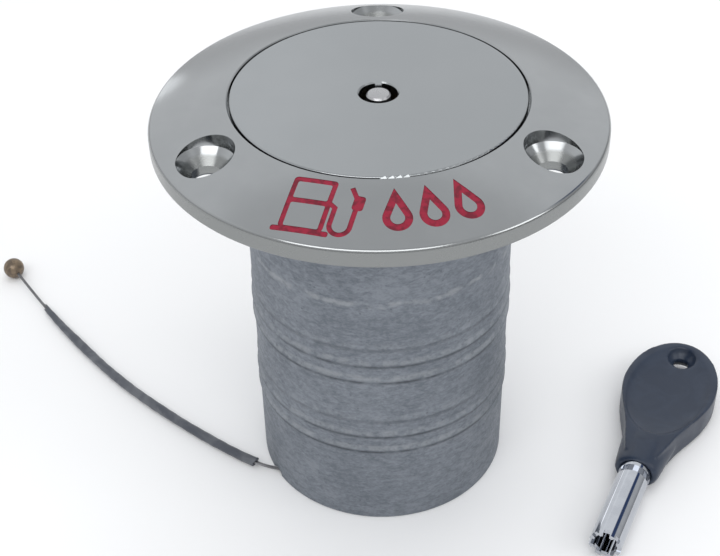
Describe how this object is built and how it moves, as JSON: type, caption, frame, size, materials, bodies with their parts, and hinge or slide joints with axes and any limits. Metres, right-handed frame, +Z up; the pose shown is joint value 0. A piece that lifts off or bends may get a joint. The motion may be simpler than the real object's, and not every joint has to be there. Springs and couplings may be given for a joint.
{
  "type": "deck fill cap",
  "caption": "Flush locking deck fill for boat fuel: round polished flange on a hose neck, keyed lift-out cap with latch bar, loose key and ball-ended leash.",
  "frame": {"origin": "on the axis of the hose neck, at the plane of the flange's underside, which beds on the deck", "axes": "+Z up out of the deck, along the neck and the cap's lift; -Y towards the fuel mark; +X to the right of the mark, where the loose key lies"},
  "size_m": [0.1685, 0.1002, 0.0855],
  "materials": {
    "cast_stainless": "polished flange, as-cast neck",
    "polished_stainless": "polished",
    "red_enamel": "filled enamel",
    "steel_wire": "drawn",
    "grey_vinyl": "satin",
    "bronze": "dull",
    "seal_rubber": "satin",
    "sheet_steel": "satin",
    "lock_brass": "machined",
    "rotor_steel": "machined",
    "key_plastic": "satin moulded",
    "key_chrome": "bright"
  },
  "bodies": {
    "filler": {"filler_body": "cast_stainless", "fuel_mark_inlay": "red_enamel", "leash_wire": "steel_wire", "leash_sleeve": "grey_vinyl", "leash_ball": "bronze", "leash_crimp": "steel_wire"},
    "cap": {"cap_lid": "polished_stainless", "cap_seal_ring": "seal_rubber", "leash_clip": "sheet_steel", "leash_clip_screw": "sheet_steel", "lock_housing": "lock_brass", "housing_nut": "lock_brass", "pin_block": "lock_brass", "driver_pins": "lock_brass", "pin_springs": "steel_wire", "block_clip": "steel_wire"},
    "rotor": {"lock_rotor": "rotor_steel", "key_pins": "lock_brass", "rotor_seal": "seal_rubber", "latch_bar": "sheet_steel", "latch_washer": "sheet_steel", "latch_screw": "sheet_steel"},
    "key": {"key_head": "key_plastic", "key_shank": "key_chrome"}
  },
  "joints": [
    {"name": "cap_lift", "type": "slide", "parent": "filler", "child": "cap", "axis": [0, 0, 1], "range_m": [0, 0.09]},
    {"name": "lock_turn", "type": "hinge", "parent": "cap", "child": "rotor", "pos_m": [0, 0, 0], "axis": [0, 0, -1], "range_deg": [0, 90]},
    {"name": "key_lift", "type": "slide", "parent": "filler", "child": "key", "axis": [0, 0, 1], "range_m": [0, 0.12]}
  ]
}
